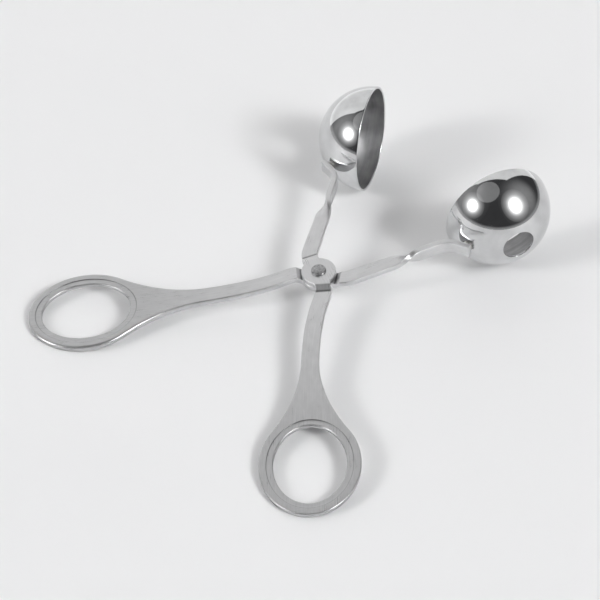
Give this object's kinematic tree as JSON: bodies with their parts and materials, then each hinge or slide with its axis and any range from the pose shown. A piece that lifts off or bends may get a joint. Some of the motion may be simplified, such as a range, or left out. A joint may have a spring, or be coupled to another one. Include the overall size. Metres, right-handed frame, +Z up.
{
  "type": "meatball maker",
  "caption": "Scissor-type meatball maker: crossed pressed-steel arms on a rivet, with an oval finger ring at one end and a hemispherical cup at the other.",
  "frame": {"origin": "on the table, under the middle of the tool's box, with the tool lying half open on its cups and ring tips", "axes": "+X along the tool from the finger rings towards the cups, +Y across it, +Z up from the table"},
  "size_m": [0.185, 0.165, 0.045],
  "materials": {
    "satin_steel": "satin brushed along the arm, edges rounded and bright",
    "polished_steel": "mirror polished outside, dull satin inside",
    "weld_steel": "weld metal, wire brushed",
    "rivet_steel": "peened, slightly mottled"
  },
  "bodies": {
    "lower_arm": {"lower_arm": "satin_steel", "lower_arm_cup": "polished_steel", "lower_arm_weld": "weld_steel", "pivot_rivet": "rivet_steel"},
    "upper_arm": {"upper_arm": "satin_steel", "upper_arm_cup": "polished_steel", "upper_arm_weld": "weld_steel"}
  },
  "joints": [
    {"name": "pivot", "type": "hinge", "parent": "lower_arm", "child": "upper_arm", "pos_m": [0.0016, 0, 0.01334], "axis": [-0.1286, 0, 0.9917], "range_deg": [-50.9, 14]}
  ]
}
